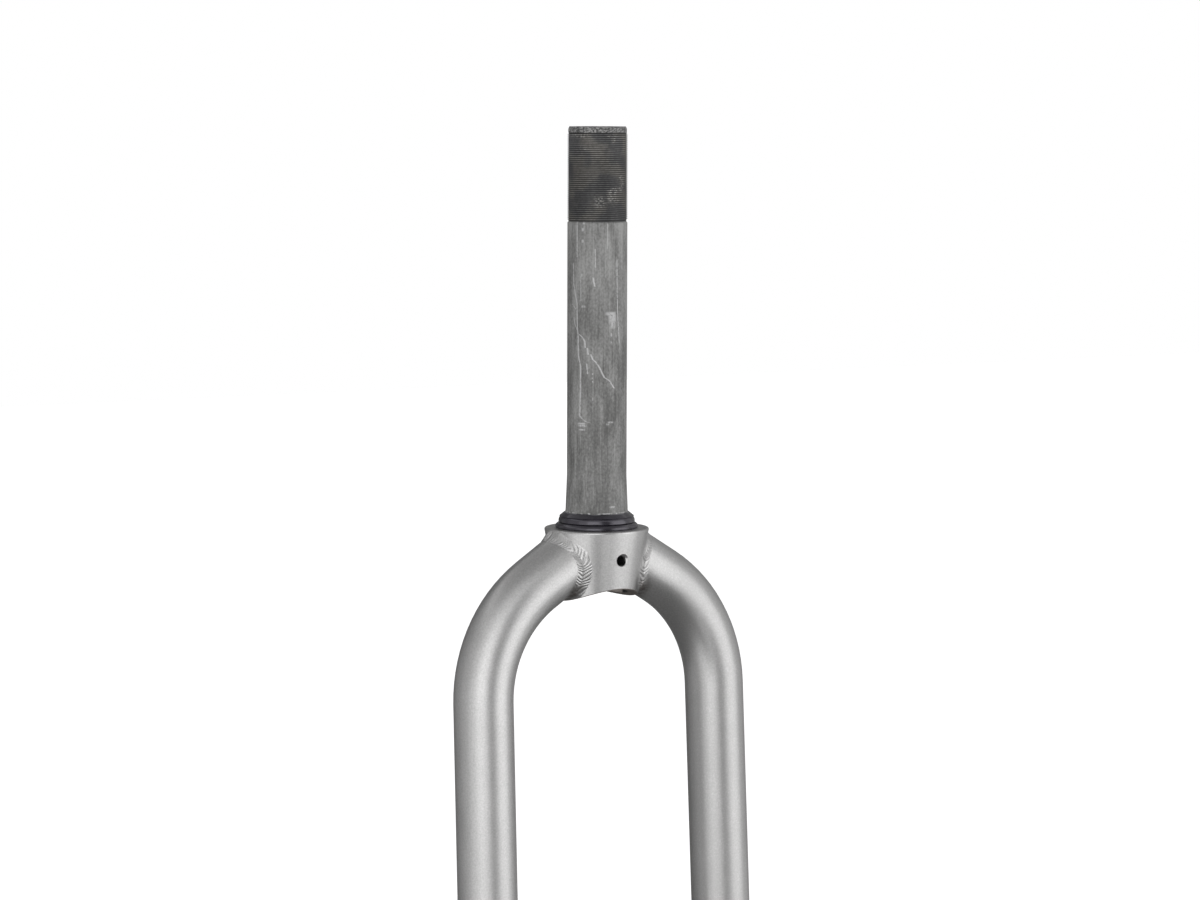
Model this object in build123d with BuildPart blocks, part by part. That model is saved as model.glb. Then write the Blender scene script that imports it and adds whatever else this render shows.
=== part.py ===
from build123d import *
import os
from math import cos, radians, sin, sqrt, tan

# A rigid bicycle fork for a wide tyre: a threaded steel steerer pressed into a conical aluminium crown, two bent
# aluminium blades welded to the crown's wall, and a forged dropout welded into the foot of each blade.
# Sizes are in millimetres and degrees. The origin is on the steerer's axis at the crown's top face, where the
# crown race sits. +Z runs up the steerer, -Y points forwards and X runs across the wheel, so that the rider's
# left is +X. Depths are measured downwards from the crown's top face.

# Steerer tube
steerer_diameter = 28.6
steerer_bore = 25.4
steerer_height = 191.65
thread_diameter = 28.4
thread_length = 45.0
thread_runout = 0.6
steerer_chamfer = 0.5
seat_diameter = 30.0
seat_taper_length = 17.5
steerer_recess = 2.4
keyway_width = 3.2
keyway_depth = 0.9
keyway_length = 38.0

# Crown
crown_diameter = 50.5
crown_side_angle = 10.3
crown_rim_radius = 0.8
arch_radius = 43.0
arch_tilt = 5.5
lip_margin = 1.85
bolt_hole_diameter = 5.0
bolt_hole_depth = 14.1
bolt_hole_chamfer = 0.9
bolt_hole_chamfer_angle = 90.0

# Crown race
race_diameter = 39.6
race_height = 7.6
race_lip_thickness = 0.5
race_base_height = 2.6
race_rib_height = 2.7
race_step = 1.5
race_groove = 0.35

# Blades
blade_diameter = 28.6
blade_wall = 2.5
blade_top_margin = 2.35
blade_droop = 31.6
blade_splay = 0.4
blade_lean = 3.0
blade_spacing = 137.1
bend_radius = 64.0

# Welds
crown_weld_leg = 3.5
dropout_weld_width = 6.0
dropout_weld_height = 1.3

# Dropouts
axle_depth = 445.0
axle_offset = 45.0
axle_spacing = 135.0
axle_slot_width = 10.0
plate_thickness = 7.0
plate_edge_chamfer = 0.8
plate_end_radius = 15.0
plate_neck_radius = 12.5
nut_seat_diameter = 21.0
nut_seat_depth = 1.0
dropout_length = 43.0
collar_length = 5.0
neck_length = 20.0
spigot_length = 10.0
spigot_clearance = 0.05

os.makedirs("parts", exist_ok=True)


def radius_of(diameter):
    return diameter / 2


def crown_radius(depth):
    """Radius of the crown's conical wall at a depth below its top face."""
    return radius_of(crown_diameter) - depth * tan(radians(crown_side_angle))


# Layout of the blades and the crown
# The layout lies in the blades' plane, which leans forwards about X: first value outwards, second one upwards.
blade_radius = radius_of(blade_diameter)
droop_cos = cos(radians(blade_droop))
droop_sin = sin(radians(blade_droop))
side_tan = tan(radians(crown_side_angle))
splay_tan = tan(radians(blade_splay))

# The top line of a blade meets the crown's wall just below the rim, and the axis lies one radius under it.
entry_x = crown_radius(blade_top_margin) - blade_radius * droop_sin
entry_z = -blade_top_margin - blade_radius * droop_cos

# The bottom line of the blade meets the wall further down, and the crown's lip stands a little below that.
under_x = entry_x - blade_radius * droop_sin
under_z = entry_z - blade_radius * droop_cos
under_run = (radius_of(crown_diameter) + under_z * side_tan - under_x) / (droop_cos + droop_sin * side_tan)
lip_depth = under_run * droop_sin - under_z + lip_margin
lip_radius = crown_radius(lip_depth)
arch_depth = lip_depth - arch_radius + sqrt(arch_radius**2 - lip_radius**2)
arch_rise = crown_diameter / 2 * tan(radians(arch_tilt))
steerer_foot = steerer_recess - arch_depth

# The arch runs from front to back over the tyre and falls towards the back.
arch_plane = Plane(
    origin=(0, 0, -arch_depth),
    x_dir=(1, 0, 0),
    z_dir=(0, -cos(radians(arch_tilt)), sin(radians(arch_tilt))),
)

# The blade turns down where its upper run meets the leg, which splays outwards as it goes down.
leg_x = blade_spacing / 2 - (entry_z + axle_depth) * splay_tan
corner_run = (leg_x - entry_x) / (droop_cos - droop_sin * splay_tan)
corner_x = entry_x + corner_run * droop_cos
corner_z = entry_z - corner_run * droop_sin

# The leg ends above the axle, where the dropout's collar begins.
lean_cos = cos(radians(blade_lean))
lean_sin = sin(radians(blade_lean))
foot_z = (dropout_length - axle_depth) / lean_cos
foot_x = corner_x + (corner_z - foot_z) * splay_tan

# Inside the crown the blade runs on to the middle of the tube's own width before it is coped.
root_x = entry_x - blade_radius * droop_cos / 2
root_z = entry_z + blade_radius * droop_sin / 2


def on_side(side, across, up):
    """Point of the leaning blade plane in space, with side +1 for the rider's left and -1 for the right."""
    return Vector(side * across, up * lean_sin, up * lean_cos)


def entry_plane(side):
    """Plane across the blade's upper run at its root, facing outwards along the run."""
    run = on_side(side, droop_cos, -droop_sin)
    return Plane(origin=on_side(side, root_x, root_z), x_dir=(0, 1, 0), z_dir=run)


def foot_plane(side):
    """Plane across the leg's lower end, facing down the leg."""
    leg = on_side(side, splay_tan, -1)
    return Plane(origin=on_side(side, foot_x, foot_z), x_dir=(1, 0, 0), z_dir=leg)


# The wall of the crown as a long cone, for coping the blades and for the welds.
wall_reach = crown_diameter
wall_bottom_radius = crown_radius(lip_depth + wall_reach)
wall_top_radius = crown_radius(-wall_reach)
wall_length = lip_depth + 2 * wall_reach
wall_middle = -lip_depth / 2

# Steerer tube
# Cold-drawn steel, with the thread cut on the top end and a thicker race seat that goes on into the crown.
thread_foot = steerer_height - thread_length
bore_radius = radius_of(steerer_bore)
tube_radius = radius_of(steerer_diameter)
thread_radius = radius_of(thread_diameter)
seat_radius = radius_of(seat_diameter)
bolt_wall = crown_radius(bolt_hole_depth)
bolt_plane = Plane(origin=(0, -bolt_wall, -bolt_hole_depth), x_dir=(1, 0, 0), z_dir=(0, -1, 0))
bolt_length = bolt_wall - bore_radius / 2

with BuildPart() as steerer_tube:
    with BuildSketch(Plane.XZ):
        with BuildLine():
            Polyline(
                (bore_radius, steerer_foot),
                (seat_radius, steerer_foot),
                (seat_radius, race_height),
                (tube_radius, race_height + seat_taper_length),
                (tube_radius, thread_foot - thread_runout),
                (thread_radius, thread_foot),
                (thread_radius, steerer_height - steerer_chamfer),
                (thread_radius - steerer_chamfer, steerer_height),
                (bore_radius, steerer_height),
                close=True,
            )
        make_face()
    revolve(axis=Axis.Z)
    # Keyway for the lock washer, down the back of the thread
    with BuildSketch(Plane.XY.offset(steerer_height)):
        with Locations((0, thread_radius)):
            Rectangle(keyway_width, 2 * keyway_depth)
    extrude(amount=-keyway_length, mode=Mode.SUBTRACT)
    with Locations(bolt_plane):
        Hole(radius_of(bolt_hole_diameter), depth=bolt_length)
steerer_tube.part.label = "steerer_tube"
export_step(steerer_tube.part, "parts/steerer_tube.step")

# Crown
# Turned aluminium cone. The steerer is pressed into its bore, the underside is arched over the tyre, and a tapped
# hole in front takes a lamp, basket or mudguard.
blank_depth = lip_depth + arch_rise

with BuildPart() as crown:
    with BuildSketch(Plane.XZ):
        with BuildLine():
            Polyline(
                (seat_radius, 0),
                (radius_of(crown_diameter), 0),
                (crown_radius(blank_depth), -blank_depth),
                (seat_radius, -blank_depth),
                close=True,
            )
        make_face()
    revolve(axis=Axis.Z)
    fillet(crown.edges().group_by(Axis.Z)[-1].sort_by(SortBy.RADIUS)[-1], crown_rim_radius)
    with BuildSketch(arch_plane):
        with Locations((0, -arch_radius)):
            Circle(arch_radius)
    extrude(amount=crown_diameter, both=True, mode=Mode.SUBTRACT)
    with Locations(bolt_plane):
        CounterSinkHole(
            radius_of(bolt_hole_diameter),
            radius_of(bolt_hole_diameter) + bolt_hole_chamfer,
            depth=bolt_length,
            counter_sink_angle=bolt_hole_chamfer_angle,
        )
crown.part.label = "crown"
export_step(crown.part, "parts/crown.step")

# Crown race
# Black stepped ring pressed on the race seat: a sloping lip at the top, a rounded rib and a rounded base.
race_radius = radius_of(race_diameter)
rib_top = race_base_height + race_rib_height
rib_radius = race_radius - race_step
lip_foot_radius = rib_radius - race_groove

with BuildPart() as crown_race:
    with BuildSketch(Plane.XZ):
        with BuildLine():
            base = Polyline(
                (seat_radius, race_height),
                (seat_radius, 0),
                (race_radius - race_groove, 0),
                (race_radius, race_groove),
                (race_radius, race_base_height / 2),
            )
            base_top = RadiusArc(base @ 1, (rib_radius - race_groove, race_base_height), -race_base_height)
            rib = Line(base_top @ 1, (rib_radius, race_base_height + race_groove))
            rib_round = RadiusArc(rib @ 1, (lip_foot_radius - race_groove, rib_top), -race_rib_height)
            Polyline(
                rib_round @ 1,
                (lip_foot_radius, rib_top + race_groove),
                (seat_radius + race_lip_thickness, race_height),
                (seat_radius, race_height),
            )
        make_face()
    revolve(axis=Axis.Z)
crown_race.part.label = "crown_race"
export_step(crown_race.part, "parts/crown_race.step")

plate_middle = (axle_spacing + plate_thickness) / 2
neck_drop = dropout_length - neck_length

for side, name in ((1, "left"), (-1, "right")):
    across_entry = entry_plane(side)
    across_foot = foot_plane(side)

    # Blade
    # Drawn aluminium tube, bent once below the crown and coped at the top to fit the crown's wall.
    with BuildPart() as blade:
        with BuildLine():
            route = FilletPolyline(
                on_side(side, root_x, root_z),
                on_side(side, corner_x, corner_z),
                on_side(side, foot_x, foot_z),
                radius=bend_radius,
            )
        with BuildSketch(across_entry):
            Circle(blade_radius)
            Circle(blade_radius - blade_wall, mode=Mode.SUBTRACT)
        sweep(path=route)
        with Locations((0, 0, wall_middle)):
            Cone(wall_bottom_radius, wall_top_radius, wall_length, mode=Mode.SUBTRACT)
    blade.part.label = f"{name}_blade"
    export_step(blade.part, f"parts/{name}_blade.step")

    # Dropout
    # Forged aluminium end: a spigot plugs the blade, a collar meets the tube's end, and a neck flattens into the
    # plate with the axle's slot. The slot opens downwards, and the nut or clamp sits in a shallow round seat.
    axle = (-axle_offset, -axle_depth)
    neck = (across_foot.origin.Y - neck_length * lean_sin, -axle_depth + neck_drop)
    with BuildPart() as dropout:
        with BuildSketch(Plane.YZ.offset(side * radius_of(axle_spacing))):
            with BuildLine():
                CenterArc(axle, plate_end_radius, 0, 360)
                CenterArc(neck, plate_neck_radius, 0, 360)
            make_hull()
        extrude(amount=side * plate_thickness)
        chamfer(dropout.faces().filter_by(Axis.X).edges(), plate_edge_chamfer)
        with BuildSketch(across_foot):
            Circle(blade_radius)
        extrude(amount=collar_length)
        with BuildSketch(across_foot):
            Circle(blade_radius - blade_wall - spigot_clearance)
        extrude(amount=-spigot_length)
        with BuildSketch(across_foot.offset(collar_length)):
            Circle(blade_radius)
        neck_origin = (side * plate_middle, neck[0], neck[1])
        with BuildSketch(Plane(origin=neck_origin, x_dir=(1, 0, 0), z_dir=(0, -lean_sin, -lean_cos))):
            Ellipse(plate_thickness / 2, plate_neck_radius)
        loft()
        with BuildSketch(Plane.YZ.offset(side * radius_of(axle_spacing))):
            with Locations(axle):
                Circle(radius_of(axle_slot_width))
                Rectangle(axle_slot_width, 2 * plate_end_radius, align=(Align.CENTER, Align.MAX))
        extrude(amount=side * plate_thickness, mode=Mode.SUBTRACT)
        with BuildSketch(Plane.YZ.offset(side * (radius_of(axle_spacing) + plate_thickness))):
            with Locations(axle):
                Circle(radius_of(nut_seat_diameter))
        extrude(amount=-side * nut_seat_depth, mode=Mode.SUBTRACT)
    dropout.part.label = f"{name}_dropout"
    export_step(dropout.part, f"parts/{name}_dropout.step")

    # Dropout weld
    # Low rounded bead round the seam between the blade's end and the dropout's collar.
    seam_plane = Plane(origin=across_foot.origin, x_dir=across_foot.x_dir, z_dir=across_foot.y_dir)
    with BuildPart() as dropout_weld:
        with BuildSketch(seam_plane):
            with BuildLine():
                Line((blade_radius, -dropout_weld_width / 2), (blade_radius, dropout_weld_width / 2))
                ThreePointArc(
                    (blade_radius, dropout_weld_width / 2),
                    (blade_radius + dropout_weld_height, 0),
                    (blade_radius, -dropout_weld_width / 2),
                )
            make_face()
        revolve(axis=Axis(across_foot.origin, across_foot.z_dir))
    dropout_weld.part.label = f"{name}_dropout_weld"
    export_step(dropout_weld.part, f"parts/{name}_dropout_weld.step")

# Crown welds
# Bead of filler that lies in the corner between the blade and the crown's wall, all round the blade. It is
# dressed level with the crown's top face and with the arch below, and the right bead mirrors the left one.
across_entry = entry_plane(1)
with BuildPart() as crown_weld:
    with Locations((0, 0, wall_middle)):
        Cone(wall_bottom_radius, wall_top_radius, wall_length)
    with BuildSketch(across_entry):
        Circle(blade_radius)
    extrude(amount=bend_radius)
    corner = crown_weld.edges().filter_by(GeomType.CIRCLE, reverse=True)
    chamfer(corner.filter_by(GeomType.LINE, reverse=True), crown_weld_leg)
    with Locations((0, 0, wall_middle)):
        Cone(wall_bottom_radius, wall_top_radius, wall_length, mode=Mode.SUBTRACT)
    with BuildSketch(across_entry):
        Circle(blade_radius)
    extrude(amount=bend_radius, mode=Mode.SUBTRACT)
    with BuildSketch(Plane.XY.offset(-crown_rim_radius / 2)):
        Rectangle(4 * crown_diameter, 4 * crown_diameter)
    extrude(amount=crown_diameter, mode=Mode.SUBTRACT)
    with BuildSketch(arch_plane):
        with Locations((0, -arch_radius)):
            Circle(arch_radius)
    extrude(amount=crown_diameter, both=True, mode=Mode.SUBTRACT)

for name, bead in (("left", crown_weld.part), ("right", mirror(crown_weld.part, about=Plane.YZ))):
    bead.label = f"{name}_crown_weld"
    export_step(bead, f"parts/{name}_crown_weld.step")
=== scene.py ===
from math import cos, pi, radians, sin, sqrt, tan

import bpy
from mathutils import Matrix, Vector


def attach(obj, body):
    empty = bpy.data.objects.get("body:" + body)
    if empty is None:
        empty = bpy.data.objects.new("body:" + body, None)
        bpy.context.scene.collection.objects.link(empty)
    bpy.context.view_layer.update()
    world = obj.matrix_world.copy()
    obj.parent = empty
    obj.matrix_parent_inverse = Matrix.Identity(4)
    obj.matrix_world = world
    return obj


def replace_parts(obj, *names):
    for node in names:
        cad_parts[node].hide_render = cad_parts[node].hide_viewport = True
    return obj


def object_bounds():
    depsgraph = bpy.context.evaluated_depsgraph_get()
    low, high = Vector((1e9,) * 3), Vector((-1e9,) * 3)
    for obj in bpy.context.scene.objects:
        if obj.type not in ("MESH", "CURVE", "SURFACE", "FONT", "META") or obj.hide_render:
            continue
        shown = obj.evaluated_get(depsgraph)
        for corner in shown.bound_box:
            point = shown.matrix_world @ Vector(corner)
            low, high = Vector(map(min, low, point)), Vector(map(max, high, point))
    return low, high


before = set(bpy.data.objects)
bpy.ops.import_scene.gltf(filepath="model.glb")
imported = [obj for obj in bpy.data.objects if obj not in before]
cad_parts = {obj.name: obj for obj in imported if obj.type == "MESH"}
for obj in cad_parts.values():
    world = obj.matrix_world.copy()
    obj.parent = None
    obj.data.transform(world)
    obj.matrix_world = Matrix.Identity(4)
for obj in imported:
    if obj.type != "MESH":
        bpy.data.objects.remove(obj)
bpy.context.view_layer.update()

# Steerer tube
# Cold-drawn steel tube, left raw and lightly oiled. A fine thread for the headset is cut on its top end, with a
# keyway down the back, and its thicker foot is pressed into the crown.
mm = 0.001
steerer_foot = -27.578 * mm
steerer_top = 191.65 * mm
steerer_bore_radius = 12.7 * mm
steerer_radius = 14.3 * mm
steerer_sides = 96
seat_radius = 15.0 * mm
seat_top = 7.6 * mm
taper_top = 25.1 * mm
thread_foot = 146.65 * mm
thread_end = 188.6 * mm
thread_pitch = 25.4 / 26 * mm
thread_undercut = 0.6 * mm
thread_root_radius = 13.78 * mm
thread_crest_radius = 14.28 * mm
thread_sunk_radius = thread_root_radius - 0.1 * mm
thread_foot_share = 0.94
thread_crest_share = 0.50
thread_run_out = 0.6 * thread_pitch
thread_steps = 72
lead_radius = 13.95 * mm
lead_step = 0.2 * mm
lead_bevel_width = 0.5 * mm
lead_bevel_height = 1.2 * mm
bore_bevel = 0.3 * mm
keyway_middle = (0, 14.2 * mm, 173.65 * mm)
keyway_size = (3.2 * mm, 1.8 * mm, 40 * mm)
bolt_hole_radius = 2.5 * mm
bolt_hole_depth = 17 * mm
bolt_hole_middle = (0, -15 * mm, -14.1 * mm)
crease = radians(32)


def settle(name):
    """Names the primitive that was just added, and puts its place into its mesh."""
    piece = bpy.context.object
    piece.name = name
    piece.data.name = name
    bpy.ops.object.transform_apply(location=True, rotation=True, scale=True)
    return piece


def extrude_ring(ring, radius, height):
    """Extrudes the selected ring of edges to a new radius and height, and gives these two back."""
    bpy.ops.mesh.extrude_region_move(TRANSFORM_OT_translate={"value": (0, 0, height - ring[1])})
    growth = radius / ring[0]
    bpy.ops.transform.resize(value=(growth, growth, 1), center_override=(0, 0, height))
    return radius, height


def close_up():
    """Merges the open mesh's meeting rings in edit mode, turns its faces outwards and leaves edit mode."""
    bpy.ops.mesh.select_all(action="SELECT")
    bpy.ops.mesh.remove_doubles(threshold=0.001 * mm)
    bpy.ops.mesh.normals_make_consistent(inside=False)
    bpy.ops.object.mode_set(mode="OBJECT")


def cut_away(piece, cutter):
    """Cuts the cutter's shape out of a piece and throws the cutter away."""
    cut = piece.modifiers.new("cut", "BOOLEAN")
    cut.object = cutter
    cut.operation = "DIFFERENCE"
    cut.solver = "EXACT"
    bpy.context.view_layer.objects.active = piece
    bpy.ops.object.modifier_apply(modifier=cut.name)
    bpy.data.objects.remove(cutter)


def keyway_cutter():
    """A block in the shape of the keyway."""
    bpy.ops.mesh.primitive_cube_add(size=1, location=keyway_middle, scale=keyway_size)
    return settle("keyway_cutter")


bpy.ops.object.select_all(action="DESELECT")
bpy.ops.mesh.primitive_circle_add(vertices=steerer_sides, radius=seat_radius, location=(0, 0, steerer_foot))
steerer = settle("threaded_steerer")
bpy.ops.object.mode_set(mode="EDIT")
bpy.ops.mesh.select_all(action="SELECT")
ring = (seat_radius, steerer_foot)
for radius, height in (
    (seat_radius, seat_top),
    (steerer_radius, taper_top),
    (steerer_radius, thread_foot - thread_undercut),
    (thread_root_radius, thread_foot),
    (thread_root_radius, thread_end),
    (lead_radius, thread_end + lead_step),
    (lead_radius, steerer_top - lead_bevel_height),
    (lead_radius - lead_bevel_width, steerer_top),
    (steerer_bore_radius + bore_bevel, steerer_top),
    (steerer_bore_radius, steerer_top - bore_bevel),
    (steerer_bore_radius, steerer_foot),
    (seat_radius, steerer_foot),
):
    ring = extrude_ring(ring, radius, height)
close_up()
cut_away(steerer, keyway_cutter())
bpy.ops.mesh.primitive_cylinder_add(
    vertices=32,
    radius=bolt_hole_radius,
    depth=bolt_hole_depth,
    location=bolt_hole_middle,
    rotation=(pi / 2, 0, 0),
)
cut_away(steerer, settle("bolt_hole_cutter"))


def wind_up(ridge, axis, pitch, turns, steps):
    """Winds the outline of a ridge, which is the active object, round an axis into a thread."""
    wind = ridge.modifiers.new("wind", "SCREW")
    wind.axis = axis
    wind.angle = 2 * pi
    wind.screw_offset = pitch
    wind.iterations = turns
    wind.steps = steps
    wind.render_steps = steps
    bpy.ops.object.modifier_apply(modifier=wind.name)


def cap_ends():
    """Fills the two open ends of the wound ridge and closes it up."""
    bpy.ops.object.mode_set(mode="EDIT")
    bpy.ops.mesh.select_all(action="DESELECT")
    bpy.ops.mesh.select_mode(type="EDGE")
    bpy.ops.mesh.select_non_manifold(extend=False)
    bpy.ops.mesh.fill_holes(sides=0)
    close_up()


# The thread is one ridge that winds up the root, and its two ends run out into the root.
thread_turns = round((thread_end - thread_foot) / thread_pitch) - 1
thread_start = thread_foot + thread_pitch / 2
bpy.ops.object.select_all(action="DESELECT")
bpy.ops.mesh.primitive_plane_add(
    size=thread_foot_share * thread_pitch,
    location=(thread_root_radius, 0, thread_start),
    rotation=(pi / 2, 0, 0),
)
thread = settle("steerer_thread")
for vertex in thread.data.vertices:
    on_crest = vertex.co.x > thread_root_radius
    vertex.co.x = thread_crest_radius if on_crest else thread_sunk_radius
    vertex.select = on_crest
bpy.ops.object.mode_set(mode="EDIT")
bpy.ops.transform.resize(
    value=(1, 1, thread_crest_share), center_override=(thread_crest_radius, 0, thread_start)
)
bpy.ops.mesh.select_all(action="SELECT")
bpy.ops.mesh.delete(type="ONLY_FACE")
bpy.ops.object.mode_set(mode="OBJECT")
wind_up(thread, "Z", thread_pitch, thread_turns, thread_steps)
for vertex in thread.data.vertices:
    radius = sqrt(vertex.co.x**2 + vertex.co.y**2)
    rise = vertex.co.z - thread_start
    fall = thread_turns * thread_pitch - rise
    full = min(1, max(0.02, rise / thread_run_out + 0.5), max(0.02, fall / thread_run_out + 0.5))
    growth = (thread_sunk_radius + (radius - thread_sunk_radius) * full) / radius
    vertex.co.x *= growth
    vertex.co.y *= growth
cap_ends()
cut_away(thread, keyway_cutter())
bpy.ops.object.select_all(action="DESELECT")
thread.select_set(True)
steerer.select_set(True)
bpy.context.view_layer.objects.active = steerer
bpy.ops.object.join()
bpy.ops.object.shade_smooth_by_angle(angle=crease)


class Value:
    """A socket of a material's nodes. Sums on it add Math nodes, and node() adds a node of any other type."""

    def __init__(self, tree, socket=None):
        self.tree = tree
        self.socket = socket

    def node(self, kind, settings=None, sockets=None, output=0):
        """Adds a node, sets its settings and then its sockets, and gives back one of its outputs."""
        added = self.tree.nodes.new(kind)
        for name, setting in (settings or {}).items():
            if name == "stops":
                ramp = added.color_ramp
                for place, _ in setting[1:-1]:
                    ramp.elements.new(place)
                for element, (place, colour) in zip(ramp.elements, setting):
                    element.position = place
                    element.color = colour
            else:
                setattr(added, name, setting)
        for name, value in (sockets or {}).items():
            if isinstance(value, Value):
                self.tree.links.new(value.socket, added.inputs[name])
            else:
                added.inputs[name].default_value = value
        return Value(self.tree, added.outputs[output])

    def math(self, operation, *values):
        return self.node("ShaderNodeMath", {"operation": operation}, dict(enumerate(values)))

    def __add__(self, other):
        return self.math("ADD", self, other)

    def __radd__(self, other):
        return self.math("ADD", other, self)

    def __sub__(self, other):
        return self.math("SUBTRACT", self, other)

    def __rsub__(self, other):
        return self.math("SUBTRACT", other, self)

    def __mul__(self, other):
        return self.math("MULTIPLY", self, other)

    def __rmul__(self, other):
        return self.math("MULTIPLY", other, self)

    def __truediv__(self, other):
        return self.math("DIVIDE", self, other)

    def __abs__(self):
        return self.math("ABSOLUTE", self)

    def root(self):
        return self.math("SQRT", self)

    def most(self, other):
        """The greater of two values."""
        return self.math("MAXIMUM", self, other)

    def fade(self, low, high):
        """Goes smoothly from 0 at low to 1 at high."""
        return self.node(
            "ShaderNodeMapRange", {"interpolation_type": "SMOOTHSTEP"}, {0: self, 1: low, 2: high, 3: 0.0, 4: 1.0}
        )

    def mix(self, colour, other):
        """Goes from one colour at 0 to the other at 1."""
        return self.node("ShaderNodeMix", {"data_type": "RGBA"}, {0: self, 6: colour, 7: other}, output=2)


def new_finish(name):
    """A new material, its shader, and a value that reads a place on the piece in metres."""
    finish = bpy.data.materials.new(name)
    finish.use_nodes = True
    place = Value(finish.node_tree).node("ShaderNodeTexCoord", output=3)
    return finish, finish.node_tree.nodes["Principled BSDF"], place


def coordinate(place, axis):
    """One of a place's three coordinates, in millimetres."""
    return place.node("ShaderNodeSeparateXYZ", {}, {0: place}, output=axis) / mm


def feed(shader, **sockets):
    """Sets the shader's sockets to numbers, colours or values."""
    for name, value in sockets.items():
        socket = shader.inputs[name.replace("_", " ")]
        if isinstance(value, Value):
            value.tree.links.new(value.socket, socket)
        else:
            socket.default_value = value


def grain(place, stretch, scale, detail=2.0):
    """Noise from about 0.3 to 0.7 whose grains are stretched along the three axes."""
    stretched = place.node("ShaderNodeVectorMath", {"operation": "MULTIPLY"}, {0: place, 1: stretch})
    return place.node("ShaderNodeTexNoise", {}, {"Vector": stretched, "Scale": scale, "Detail": detail})


raw_steel, shader, place = new_finish("raw_drawn_steel")
dark_steel = (0.125, 0.125, 0.122, 1)
pale_steel = (0.37, 0.37, 0.365, 1)
bright_steel = (0.53, 0.53, 0.535, 1)
thick_oil_and_shade = (0.018, 0.018, 0.019, 1)
thin_oil_and_shade = (0.030, 0.028, 0.025, 1)
grey_crest = (0.215, 0.215, 0.22, 1)
warm_crest = (0.255, 0.245, 0.23, 1)
torn_hollow = (0.06, 0.06, 0.06, 1)
torn_edge = (0.34, 0.337, 0.335, 1)
glint_steel = (0.42, 0.41, 0.39, 1)
x, y, height = (coordinate(place, axis) for axis in range(3))
turn = place.math("ARCTAN2", x, 0 - y) * (180 / pi)
outwards = (x * x + y * y).root()

# Draw marks run up the tube, clouds of oxide lie over them, and specks and fine grit cover all of it. A dark band of
# painted shade runs down the front with a dark strip beside it, and the steel is painted a little paler towards the
# thread as painted light.
draw_marks = grain(place, (1, 1, 0.012), 900, 4.0)
hair_marks = grain(place, (1, 1, 0.02), 1900)
clouds = grain(place, (1, 1, 0.3), 150, 4.0)
specks = grain(place, (1, 1, 0.7), 1100)
grit = grain(place, (1, 1, 0.5), 3200)
# A band of painted shade runs down the middle of the front, and a dark strip stands beside it.
painted_shade_band = (1 - abs(turn + 39).fade(3, 15)) * (1 - height.fade(48, 78))
dark_strip = (1 - abs(turn - 4).fade(1, 5.5)) * height.fade(51, 54) * (1 - height.fade(64, 69))
tone = draw_marks * 0.26 + hair_marks * 0.28 + clouds * 0.72 + specks * 0.42 + grit * 0.06
# The steel is painted paler towards the thread as painted light.
tone = tone + height.fade(60, 125) * 0.07 - 0.05 - painted_shade_band * 0.13 - dark_strip * 0.12
bare = tone.fade(0.58, 1.16).mix(dark_steel, pale_steel)

# Pale scratches, each by its half width in millimetres and a line of heights in millimetres with turns in degrees,
# from its top end to its foot.
scratches = (
    (0.34, ((147, -75), (130, -75))),
    (0.34, ((127, -85), (117, -84), (108, -75), (97, -74), (93, -72))),
    (0.46, ((93, -72), (83, -71), (78, -66), (67, -66), (60, -67), (54, -68))),
    (0.44, ((93.4, -70), (92, -62), (90, -57), (87, -56))),
    (0.42, ((87, -52), (83.7, -50))),
    (0.45, ((84, -45), (81.5, -41), (80, -34), (78, -29), (73, -19), (71.3, -8), (69, -2), (67.6, 2))),
    (0.32, ((79.5, -53), (74.5, -51))),
    (0.40, ((54.4, -67), (53, -62), (51.8, -54), (51.4, -46))),
    (0.30, ((107.6, -88), (105, -77))),
    (0.24, ((101.5, -83.5), (98, -80), (95.5, -75))),
    (0.42, ((120.6, -40.5), (118.5, -39.5), (116, -37))),
    (0.20, ((134, -37), (125, -36.5))),
    (0.20, ((121, -66), (109, -65.5))),
    (0.23, ((129, 8), (112, 8.5), (101, 10.5), (89, 14.5))),
    (0.15, ((146, -13), (134, -12.6))),
)
scratched_and_lit = None
for width, line in scratches:
    top, foot = line[0][0], line[-1][0]
    turns = [degrees for _, degrees in line]
    least, most = min(turns) - 1, max(turns) + 1
    along = (top - height) / (top - foot)
    stops = [
        ((top - level) / (top - foot), (*[(degrees - least) / (most - least)] * 3, 1)) for level, degrees in line
    ]
    course = along.node("ShaderNodeValToRGB", {"stops": stops}, {0: along}) * (most - least) + least
    off_line = abs(turn - course) * (steerer_radius / mm * pi / 180)
    inside = along.fade(-0.01, 0.02) * (1 - along.fade(0.98, 1.01))
    stroke = (1 - off_line.fade(0.1 * width, 1.5 * width)) * inside
    scratched_and_lit = stroke if scratched_and_lit is None else scratched_and_lit.most(stroke)


def patch_at(middle, level, half_width, half_height, side_fade, end_fade):
    """A soft patch on the steerer at a turn and a height. The two fades are the shares of its half width and of its
    half height over which it ends."""
    sideways = abs(turn - middle) / half_width
    upwards = abs(height - level) / half_height
    return (1 - sideways.fade(*side_fade)) * (1 - upwards.fade(*end_fade))
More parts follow.
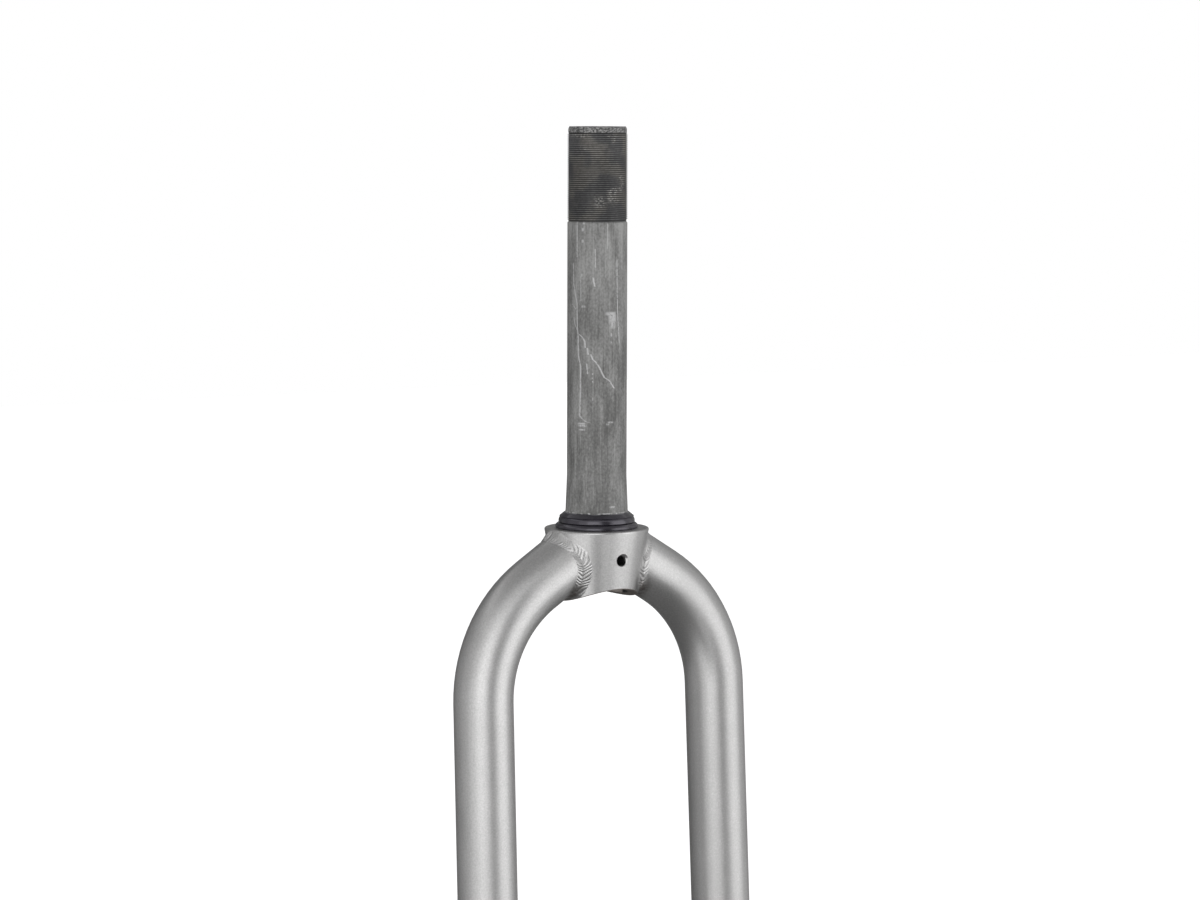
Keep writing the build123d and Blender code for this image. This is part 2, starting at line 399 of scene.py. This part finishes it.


# Scuffs and rubbed patches, each by its turn, its height, its half width in degrees, its half height in millimetres
# and its strength. The seat just above the race is rubbed by it and painted brighter with a painted highlight.
for *patch, strength in (
    (-64, 50.8, 10, 0.5, 1.0),
    (-62, 49.8, 10, 0.5, 1.0),
    (-63, 47.9, 8, 0.4, 1.0),
    (-6, 51.5, 7, 0.5, 0.7),
    (-12, 50.6, 4, 0.5, 0.5),
    (-6, 103.2, 13, 0.9, 0.8),
    (-2, 101.2, 10, 2.6, 0.8),
    (-1, 98.0, 6, 2.0, 0.75),
    (-4.5, 93.2, 2, 1.0, 0.6),
    (-4.5, 89.6, 2, 1.0, 0.7),
    (-60.5, 106.6, 6, 0.6, 0.6),
    (-2, 11.0, 7, 0.5, 0.8),
    (-60, 146.3, 3, 0.9, 0.8),
    (-62, 143.0, 3, 0.9, 0.8),
    (-62, 137.6, 3, 0.8, 0.8),
    (-64, 121.4, 3, 0.8, 0.5),
    (-41.5, 74.6, 1.6, 0.4, 0.9),
    (-41.5, 72.6, 1.6, 0.4, 0.9),
    (-41.5, 70.9, 1.6, 0.5, 0.9),
    (-41.4, 62.7, 1.2, 0.9, 0.6),
):
    scratched_and_lit = scratched_and_lit.most(patch_at(*patch, (0.3, 1.2), (0.3, 1.3)) * strength)
# Painted highlight on the seat just above the race, laid as a rubbed band with the scratches.
above_race = height.fade(seat_top / mm + 0.3, seat_top / mm + 0.7)
race_rub_and_highlight = (1 - above_race) * grain(place, (1, 1, 1), 420).fade(0.44, 0.58)
scratched_and_lit = scratched_and_lit.most(race_rub_and_highlight) * grain(place, (1, 1, 0.6), 1500).fade(0.26, 0.50)
bare = scratched_and_lit.mix(bare, bright_steel)

# The thread's valleys are dark with cutting oil and painted shade, and its crests are rubbed and painted lighter
# with painted highlights, most near the top and on the side where the light falls. The lead above the thread is
# torn.
threaded = height.fade(thread_foot / mm - 0.2, thread_foot / mm + 0.2)
crest = outwards.fade(thread_root_radius / mm + 0.2, thread_crest_radius / mm - 0.12)
lead = height.fade(thread_end / mm + 0.05, thread_end / mm + 0.25)
oil = grain(place, (1, 1, 1), 90)
nicks = grain(place, (1, 1, 1.2), 700)
high = height.fade(173, 181)
rubbed_and_lit = crest * (0.62 + oil.fade(0.38, 0.60) * 0.38) * (0.7 + nicks.fade(0.38, 0.60) * 0.3)
# Painted highlights: the crests are lighter near the top and on the side where the light falls.
rubbed_and_lit = rubbed_and_lit * (0.58 + high * 0.26 + (1 - turn.fade(-98, -62)) * (0.12 + high * 0.40))
torn = grain(place, (1, 1, 2.4), 1000, 3.0).fade(0.40, 0.64)
thread_colour = oil.fade(0.40, 0.62).mix(thick_oil_and_shade, thin_oil_and_shade)
thread_colour = rubbed_and_lit.mix(thread_colour, oil.fade(0.42, 0.58).mix(grey_crest, warm_crest))
thread_colour = lead.mix(thread_colour, torn.mix(torn_hollow, torn_edge))

# Bright glints on the thread, each by its turn, its height, its half width in degrees and its half height in
# millimetres.
glinting = None
for glint in (
    (-68, 187.2, 26, 0.7),
    (-4, 187.2, 14, 0.7),
    (-1, 185.6, 5, 2.0),
    (-66, 181.9, 3, 0.5),
    (-60, 180.9, 14, 0.4),
    (20, 165.0, 9, 4.0),
    (-2, 159.5, 15, 3.5),
    (-28, 156.0, 14, 2.5),
):
    shining = patch_at(*glint, (0.4, 1.1), (0.6, 1.3))
    glinting = shining if glinting is None else glinting.most(shining)
glinting = glinting * crest * grain(place, (0.7, 0.7, 2.2), 1300, 1.0).fade(0.48, 0.66)
thread_colour = glinting.mix(thread_colour, glint_steel)
feed(
    shader,
    Base_Color=threaded.mix(bare, thread_colour),
    Metallic=0.45 - threaded * 0.15,
    Roughness=0.68 - scratched_and_lit * 0.12 - threaded * 0.10 + (grit - 0.5) * 0.25,
    Normal=place.node(
        "ShaderNodeBump",
        {},
        {"Height": draw_marks * 0.6 + hair_marks * 0.4 + grit * 0.2, "Distance": 0.03 * mm, "Strength": 0.6},
    ),
)
steerer.data.materials.clear()
steerer.data.materials.append(raw_steel)
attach(steerer, "root")
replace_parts(steerer, "steerer_tube")

# Crown
# Turned aluminium cone that the steerer is pressed into, arched underneath for the tyre. It is painted silver
# with the blades, and the tapped hole in its front takes a lamp, basket or mudguard bracket.
crown_radius = 25.25 * mm
crown_slope = tan(radians(10.3))
arch_radius = 43.0 * mm
arch_depth = 29.978 * mm
arch_slope = tan(radians(5.5))
tap_start = -14.2 * mm
tap_ridge = 0.3 * mm
tap_stand_off = 0.02 * mm
tap_pitch = 1.0 * mm
tap_turns = 7
tap_steps = 40

silver_paint, shader, place = new_finish("satin_silver_paint")
dark_flake = (0.40, 0.397, 0.395, 1)
pale_flake = (0.54, 0.537, 0.535, 1)
oily_shaded_hole = (0.05, 0.05, 0.05, 1)
painted_mouth_highlight = (0.70, 0.69, 0.68, 1)
dull_paint_and_shade = (0.135, 0.115, 0.102, 1)
brown_recess = (0.37, 0.335, 0.315, 1)
recess_shadow = (0.01, 0.01, 0.01, 1)
grey_recess = (0.13, 0.128, 0.125, 1)
x, y, z = (coordinate(place, axis) for axis in range(3))

# Metal flakes of three sizes shine in the paint. Painted shade makes the coat a little darker on the rider's left
# side.
flakes = grain(place, (1, 1, 1), 3600)
specks = grain(place, (1, 1, 1), 9000, 1.0)
sparkle = grain(place, (1, 1, 1), 1300)
mist = grain(place, (1, 1, 1), 45)
shine = flakes * 0.6 + specks * 0.4
# Painted shade darkens the rider's left side of the coat.
coat_and_shade = shine * 0.55 + sparkle * 0.45 + (mist - 0.5) * 0.15 - x.fade(20, 45) * 0.08
painted = coat_and_shade.fade(0.32, 0.68).mix(dark_flake, pale_flake)

# The tap has cut the paint away inside the hole. The bare wall there is dark with oil and painted shade, and a
# painted highlight brightens the upper right side of its mouth.
off_height = z - bolt_hole_middle[2] / mm
off_hole = (x * x + off_height * off_height).root()
tapped = 1 - off_hole.fade(bolt_hole_radius / mm + 0.05, bolt_hole_radius / mm + 0.25)
tapped = tapped * y.fade(-22.6, -22.2) * (1 - y.fade(-10.5, -10.0))
# Painted highlight on the upper right side of the hole's mouth.
lit_mouth = (1 - y.fade(-22.2, -20.0)) * x.fade(0.2, 1.6) * z.fade(-15.5, -13.0)
cut = lit_mouth.mix(oily_shaded_hole, painted_mouth_highlight)

# Little paint reaches the arch under the crown and the lowest corner of the welds, which stay dull, and painted
# shade darkens them brownish. The recess below the steerer's foot is unpainted and stained brown, with painted shade
# laid over it in bands.
off_axis = (x * x + y * y).root()
arch = ((arch_radius / mm) ** 2 - x * x).root() - (arch_radius + arch_depth) / mm - y * arch_slope
# Painted shade darkens the arch under the crown and the lowest corners of the welds.
under = (1 - abs(z - arch).fade(0.15, 0.5)) * (1 - abs(x).fade(20, 22))
off_wall = off_axis - z * crown_slope - crown_radius / mm
corner = (1 - z.fade(-30, -23)) * off_wall.fade(0.2, 1.0) * (0.7 - off_wall.fade(2.5, 8) * 0.7)
corner = corner * (0.62 + grain(place, (0.8, 0.8, 1.6), 480).fade(0.40, 0.60) * 0.55)
recessed = (1 - off_axis.fade(seat_radius / mm + 0.02, seat_radius / mm + 0.2)) * (1 - z.fade(-26, -25))
# The recess is painted in bands across the camera's view: brown, then a black band of painted shadow, then grey
# shade.
across = x - y * 0.65
stain_and_shade = across.fade(14.2, 15.6).mix(brown_recess, recess_shadow)
stain_and_shade = across.fade(17.4, 18.4).mix(stain_and_shade, grey_recess)
paint_with_shade = recessed.mix(under.most(corner).mix(painted, dull_paint_and_shade), stain_and_shade)
turned = 1 - off_wall.fade(0.05, 0.2)
feed(
    shader,
    Base_Color=tapped.mix(paint_with_shade, cut),
    Metallic=0.9 - under * 0.3,
    Roughness=0.38 + (shine - 0.5) * 0.16 + under * 0.2 - turned * 0.07,
    Normal=place.node("ShaderNodeBump", {}, {"Height": shine, "Distance": 0.02 * mm, "Strength": 0.35}),
)


def finish_node(name, finish):
    """Gives a CAD node a finish."""
    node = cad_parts[name]
    node.data.materials.clear()
    node.data.materials.append(finish)


finish_node("crown", silver_paint)

# The tap has left a thread in the hole, which is one ridge that winds through the crown's wall.
bpy.ops.object.select_all(action="DESELECT")
bpy.ops.mesh.primitive_circle_add(
    vertices=3, radius=tap_ridge, location=(0, tap_start, bolt_hole_middle[2]), rotation=(0, pi / 2, 0)
)
tapped_thread = bpy.context.object
bpy.ops.object.transform_apply(location=False, rotation=True, scale=True)
for vertex in tapped_thread.data.vertices:
    vertex.co.z += bolt_hole_radius + tap_stand_off
wind_up(tapped_thread, "Y", -tap_pitch, tap_turns, tap_steps)
settle("crown_tapped_thread")
cap_ends()
bpy.ops.object.shade_smooth_by_angle(angle=crease)
tapped_thread.data.materials.append(silver_paint)
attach(tapped_thread, "root")

# Blades
# Drawn aluminium tubes, bent once below the crown. Their upper ends are coped to the crown's wall and welded to it,
# and they are painted with it.
finish_node("left_blade", silver_paint)
finish_node("right_blade", silver_paint)

# Crown welds
# Rippled beads of filler, laid by hand round the upper end of each blade and painted over with the rest. They fill
# the corner between the blade and the crown's wall, and end short of the arch.
lean = radians(3.0)
droop = radians(31.6)
blade_radius = 14.3 * mm
entry_across = 17.330 * mm
entry_up = -14.530 * mm
rim_margin = 0.6 * mm
arch_margin = 0.15 * mm
least_leg = 0.3 * mm
leg_step = 0.05 * mm
crown_ripple = 1.9 * mm
ripple_height = 0.30 * mm
bead_rings = 720
bead_sides = 30
bead_sink = 0.08 * mm
crown_bead_root = 0.3 * mm
seam_steps = 1440

# The two beads differ near their tops. Each row is a share of the way from the top of the blade to its lowest line,
# the bead's legs on the wall and on the blade there in millimetres, and how hollow its face is.
crown_weld_low = (4.3, 4.3, 0.55)
crown_weld_shapes = {
    1: ((0.0, 2.0, 4.4, 0.55), (0.10, 1.0, 5.2, 0.55), (0.25, 0.6, 4.8, 0.55), (0.50, *crown_weld_low)),
    -1: ((0.0, 2.7, 5.4, 0.20), (0.12, 2.3, 5.4, 0.20), (0.25, 1.2, 4.8, 0.30), (0.50, *crown_weld_low)),
}


def on_side(side, across, up):
    """Point of the leaning blade plane, with side 1 for the rider's left and -1 for the right."""
    return Vector((side * across, up * sin(lean), up * cos(lean)))


def seam(side, turn):
    """Where the blade's surface meets the crown's wall, at a turn round the blade from its top line, with the
    outward normals of the wall and of the blade there."""
    run = on_side(side, cos(droop), -sin(droop))
    top = on_side(side, sin(droop), cos(droop))
    normal = top * cos(turn) + run.cross(top) * sin(turn)
    start = on_side(side, entry_across, entry_up) + normal * blade_radius
    wall = crown_radius + crown_slope * start.z
    a = run.x**2 + run.y**2 - (crown_slope * run.z) ** 2
    b = start.x * run.x + start.y * run.y - crown_slope * run.z * wall
    c = start.x**2 + start.y**2 - wall**2
    place = start + run * ((sqrt(b * b - a * c) - b) / a)
    wall_normal = Vector((place.x, place.y, -crown_slope * (crown_radius + crown_slope * place.z))).normalized()
    return place, wall_normal, normal


def wall_toe(place, wall_normal, normal, leg):
    """The edge of the bead on the crown's wall, which stays clear of the rim and of the arch."""
    up_wall = (normal - wall_normal * normal.dot(wall_normal)).normalized()
    while leg > least_leg:
        toe = place + up_wall * leg
        toe.xy = toe.xy.normalized() * (crown_radius + crown_slope * toe.z)
        arch = -arch_depth - arch_radius + sqrt(arch_radius**2 - toe.x**2) - arch_slope * toe.y
        if toe.z < -rim_margin and toe.z > arch + arch_margin:
            break
        leg -= leg_step
    return toe


def blade_toe(side, place, wall_normal, normal, leg):
    """The edge of the bead on the blade."""
    along = (wall_normal - normal * wall_normal.dot(normal)).normalized()
    toe = place + along * leg
    run = on_side(side, cos(droop), -sin(droop))
    middle = on_side(side, entry_across, entry_up)
    middle += run * (toe - middle).dot(run)
    return middle + (toe - middle).normalized() * blade_radius


def ripple(phase):
    """Height of a bead's ripples from -0.6 to 0.4, round on top with sharp valleys between them."""
    return abs(sin(pi * phase)) ** 0.8 - 0.6


def wrap_bead(name, rings):
    """Wraps a grid into a ring of filler. Each ring gives a function from the share of the way across the bead's
    face to a place, and the corner that the bead is rooted in."""
    bpy.ops.object.select_all(action="DESELECT")
    bpy.ops.mesh.primitive_grid_add(x_subdivisions=len(rings) - 1, y_subdivisions=bead_sides, size=1)
    bead = settle(name)
    for vertex in bead.data.vertices:
        face, corner = rings[round((vertex.co.x + 0.5) * (len(rings) - 1))]
        across = round((vertex.co.y + 0.5) * bead_sides) / (bead_sides - 2)
        vertex.co = face(across) if across <= 1 else corner if across < 1.05 else face(0)
    bpy.ops.object.mode_set(mode="EDIT")
    close_up()
    bpy.ops.object.shade_smooth_by_angle(angle=radians(60))
    bead.data.materials.append(silver_paint)
    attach(bead, "root")
    return bead


def crown_ring(side, turn, length, most):
    """One ring of a crown bead, at a length along the seam."""
    place, wall_normal, normal = seam(side, turn)
    outwards = (wall_normal + normal).normalized()
    from_top = min(turn, 2 * pi - turn) / pi
    shapes = crown_weld_shapes[side]
    for before, after in zip(shapes, shapes[1:]):
        if from_top <= after[0]:
            break
    within = min(1, (from_top - before[0]) / (after[0] - before[0]))
    wall_leg, blade_leg, hollowed = (
        start + (end - start) * within for start, end in zip(before[1:], after[1:])
    )
    upper = wall_toe(place, wall_normal, normal, wall_leg * mm) - outwards * bead_sink
    lower = blade_toe(side, place, wall_normal, normal, blade_leg * mm) - outwards * bead_sink

    # The ripples are high at the top and down the sides, and fade out at the foot.
    growth = min(1, max(0, (from_top - 0.15) / 0.35))
    fading = 1 - 0.7 * min(1, max(0, (from_top - 0.72) / 0.12))
    swell = max(growth**2, 1.8 - from_top / 0.09, 0.3)
    uneven = 0.22 * sin(34 * pi * length / most)
    height = fading * ripple_height * (0.5 + 0.5 * swell + uneven)
    ripples = round(most / crown_ripple)
    wander = 0.5 * sin(10 * pi * length / most) + 0.3 * sin(26 * pi * length / most)

    def face(across):
        # Each ripple is a V that points away from the top of the blade, with its tip nearer to the blade.
        slant = 3.4 * min(1, from_top / 0.25) * sqrt((across - 0.62) ** 2 + 0.004)
        phase = ripples * min(length, most - length) / most + wander + slant
        chord = upper * (1 - across) + lower * across
        hollow = upper * (1 - across) ** 2 + place * 2 * across * (1 - across) + lower * across**2
        rise = height * ripple(phase) * sqrt(max(0, 1 - (2 * across - 1) ** 2))
        return chord.lerp(hollow, hollowed) + outwards * rise

    return face, place - outwards * crown_bead_root


for side, name in ((1, "left"), (-1, "right")):
    # Rings are spaced evenly along the seam, so its length is walked first.
    turns = [2 * pi * step / seam_steps for step in range(seam_steps + 1)]
    places = [seam(side, turn)[0] for turn in turns]
    walk = [0.0]
    for before, after in zip(places, places[1:]):
        walk.append(walk[-1] + (after - before).length)
    rings = []
    step = 0
    for ring in range(bead_rings + 1):
        length = walk[-1] * ring / bead_rings
        while step < seam_steps - 1 and walk[step + 1] < length:
            step += 1
        within = (length - walk[step]) / (walk[step + 1] - walk[step])
        rings.append(crown_ring(side, turns[step] + within * (turns[1] - turns[0]), length, walk[-1]))
    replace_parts(wrap_bead(f"{name}_crown_bead", rings), f"{name}_crown_weld")

# Dropouts
# Forged aluminium ends that close the blades. Their spigots plug the tubes, their plates hold the axle in open
# slots, and they are painted with the blades.
finish_node("left_dropout", silver_paint)
finish_node("right_dropout", silver_paint)

# Dropout welds
# Low rippled beads of filler round the seam between each blade and its dropout, laid like the beads at the crown
# and painted with them.
blade_foot_across = 68.254 * mm
blade_foot_up = -402.552 * mm
blade_splay = tan(radians(0.4))
dropout_weld_width = 6.0 * mm
dropout_weld_height = 1.15 * mm
dropout_ripples = 52
dropout_ripple_bow = 1.6
dropout_bead_root = 0.5 * mm


def dropout_ring(side, share):
    """One ring of a dropout bead, at a share of the way round the blade."""
    middle = on_side(side, blade_foot_across, blade_foot_up)
    down = on_side(side, blade_splay, -1).normalized()
    out = on_side(side, 1, blade_splay).normalized()
    out = out * cos(2 * pi * share) + down.cross(out) * sin(2 * pi * share)

    def face(across):
        phase = dropout_ripples * share + dropout_ripple_bow * (across - 0.5) ** 2 * 4
        swell = 1 - (2 * across - 1) ** 2
        rise = dropout_weld_height * swell + ripple_height * ripple(phase) * sqrt(max(0, swell))
        return middle + out * (blade_radius - bead_sink + rise) + down * dropout_weld_width * (across - 0.5)

    return face, middle + out * (blade_radius - dropout_bead_root)


for side, name in ((1, "left"), (-1, "right")):
    rings = [dropout_ring(side, ring / bead_rings) for ring in range(bead_rings + 1)]
    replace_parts(wrap_bead(f"{name}_dropout_bead", rings), f"{name}_dropout_weld")

# Crown race
# Stepped ring of black-oxidised steel, pressed on the steerer's seat last of all. The lower headset bearing
# runs on it, and its thin top lip is rubbed and painted bright, partly with a painted highlight.
black_finish, shader, place = new_finish("satin_black_oxide")
deep_oxide = (0.012, 0.011, 0.015, 1)
hazy_oxide = (0.022, 0.020, 0.027, 1)
rubbed_lip_and_highlight = (0.5, 0.5, 0.5, 1)
haze = grain(place, (1, 1, 0.4), 240, 3.0)
# Painted highlight along the top lip, laid as a rubbed band.
rub_and_highlight = coordinate(place, 2).fade(7.2, 7.55) * haze.fade(0.40, 0.62)
feed(
    shader,
    Base_Color=(rub_and_highlight * 0.5).mix(haze.fade(0.3, 0.7).mix(deep_oxide, hazy_oxide), rubbed_lip_and_highlight),
    Roughness=0.20 + (haze - 0.5) * 0.12,
    Metallic=rub_and_highlight * 0.6,
    Specular_IOR_Level=0.9,
    Specular_Tint=(0.93, 0.90, 1.0, 1),
)
finish_node("crown_race", black_finish)

# Studio
# A white floor and backdrop, and two large softboxes in front of the fork. Cloth flags stand round it and hang over
# it, and cards lie on the floor, and all of these show only in the fork's gloss.
camera_turn = radians(-32.941)
camera_pitch = radians(5.284)
camera_roll = radians(0.153)
camera_distance = 1.8
camera_height = 203.583 * mm
camera_aside = 1.537 * mm
focal_pixels = 3771.9
picture_width = 1200
sensor_width = 36
to_right = Vector((cos(camera_turn), sin(camera_turn), 0))
to_front = Vector((sin(camera_turn), -cos(camera_turn), 0))
bpy.ops.object.camera_add(
    location=to_front * camera_distance + to_right * camera_aside + Vector((0, 0, camera_height))
)
camera = bpy.context.object
camera.matrix_world = (
    Matrix.Translation(camera.location)
    @ Matrix.Rotation(camera_turn, 4, "Z")
    @ Matrix.Rotation(pi / 2 - camera_pitch, 4, "X")
    @ Matrix.Rotation(camera_roll, 4, "Z")
)
camera.data.sensor_width = sensor_width
camera.data.lens = focal_pixels / picture_width * sensor_width
bpy.context.scene.camera = camera


def around(degrees, distance, height):
    """A place round the fork, by its angle from the camera's side towards the right of the picture."""
    angle = radians(degrees)
    return (to_front * cos(angle) + to_right * sin(angle)) * distance + Vector((0, 0, height))


def facing(place):
    """The rotation that turns an object's -Z side from a place to the fork's axis at the same height."""
    return (Vector((0, 0, place.z)) - place).to_track_quat("-Z", "Y").to_euler()


def seen_rays(start):
    """1 for the rays of the camera, of gloss and of glass, and 0 for those that only carry light."""
    camera_ray = start.node("ShaderNodeLightPath", output="Is Camera Ray")
    glossy_ray = start.node("ShaderNodeLightPath", output="Is Glossy Ray")
    return camera_ray.most(glossy_ray).most(start.node("ShaderNodeLightPath", output="Is Transmission Ray"))


floor_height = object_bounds()[0][2]
bpy.ops.object.select_all(action="DESELECT")
bpy.ops.mesh.primitive_plane_add(size=12, location=(0, 0, floor_height))
floor = settle("studio_floor")
white_floor, shader, place = new_finish("white_floor")
feed(
    shader,
    Base_Color=(0.9, 0.9, 0.9, 1),
    Roughness=0.9,
    Specular_IOR_Level=0.1,
    Emission_Color=seen_rays(place).mix((0, 0, 0, 1), (0.6, 0.6, 0.6, 1)),
    Emission_Strength=1.0,
)
floor.data.materials.append(white_floor)

softbox_distance = 1.5
softbox_height = 0.25
softbox_tall = 1.5
for name, degrees, width, power in (
    ("left_softbox", -9, 1.0, 4.7),
    ("right_softbox", 72, 1.2, 4.85),
):
    spot = around(degrees, softbox_distance, softbox_height)
    bpy.ops.object.light_add(type="AREA", location=spot, rotation=facing(spot))
    lamp = bpy.context.object
    lamp.name = name
    lamp.data.shape = "RECTANGLE"
    lamp.data.size = width
    lamp.data.size_y = softbox_tall
    lamp.data.energy = power


def hang_flag(name, place, rotation, width, tall, tone):
    """A sheet of cloth or card that shows only in the fork's own gloss, at a tone where 1 is white."""
    bpy.ops.mesh.primitive_plane_add(size=1, location=place, rotation=rotation)
    flag = bpy.context.object
    flag.scale = (width, tall, 1)
    settle(name)
    cloth, shader, _ = new_finish(f"{name}_cloth")
    feed(shader, Base_Color=(0, 0, 0, 1), Specular_IOR_Level=0.0)
    feed(shader, Emission_Color=(tone, tone, tone, 1), Emission_Strength=1.0)
    flag.data.materials.append(cloth)
    flag.visible_camera = False
    flag.visible_diffuse = False
    flag.visible_transmission = False
    flag.visible_shadow = False


flag_distance = 1.1
flag_foot = -0.45
flag_top = 0.85
for name, start, end, tone in (
    ("left_flag", -55, -92, 0.60),
    ("far_left_flag", -92, -130, 0.36),
    ("back_left_flag", -130, -168, 0.15),
    ("middle_flag", 42, 16, 0.22),
    ("right_flag", 135, 101, 0.62),
    ("back_right_flag", 168, 135, 0.35),
    ("back_flag", 200, 160, 0.18),
):
    spot = around((start + end) / 2, flag_distance, (flag_foot + flag_top) / 2)
    width = 2 * flag_distance * tan(radians(start - end) / 2)
    hang_flag(name, spot, facing(spot), width, flag_top - flag_foot, tone)

for name, degrees, distance, height, width, tall, tone in (
    ("top_flag", 180, 0.16, 1.0, 1.6, 1.6, 0.38),
    ("floor_flag", 180, 0.35, floor_height + 0.002, 2.0, 1.9, 0.12),
    ("front_flag", -2, 1.15, floor_height + 0.003, 0.5, 1.2, 0.40),
    ("right_card", 54, 1.12, floor_height + 0.004, 1.25, 0.66, 1.70),
    ("left_card", -43, 0.95, floor_height + 0.004, 0.85, 0.9, 1.42),
    ("far_right_card", 118, 0.9, floor_height + 0.005, 0.6, 0.6, 0.95),
):
    turned = (0, 0, camera_turn + radians(degrees))
    hang_flag(name, around(degrees, distance, height), turned, width, tall, tone)

world = bpy.data.worlds.new("white_studio")
bpy.context.scene.world = world
world.use_nodes = True
backdrop = world.node_tree.nodes["Background"]
white = seen_rays(Value(world.node_tree)).mix((0.6, 0.6, 0.6, 1), (1, 1, 1, 1))
world.node_tree.links.new(white.socket, backdrop.inputs["Color"])

bpy.context.scene.view_settings.view_transform = "Standard"
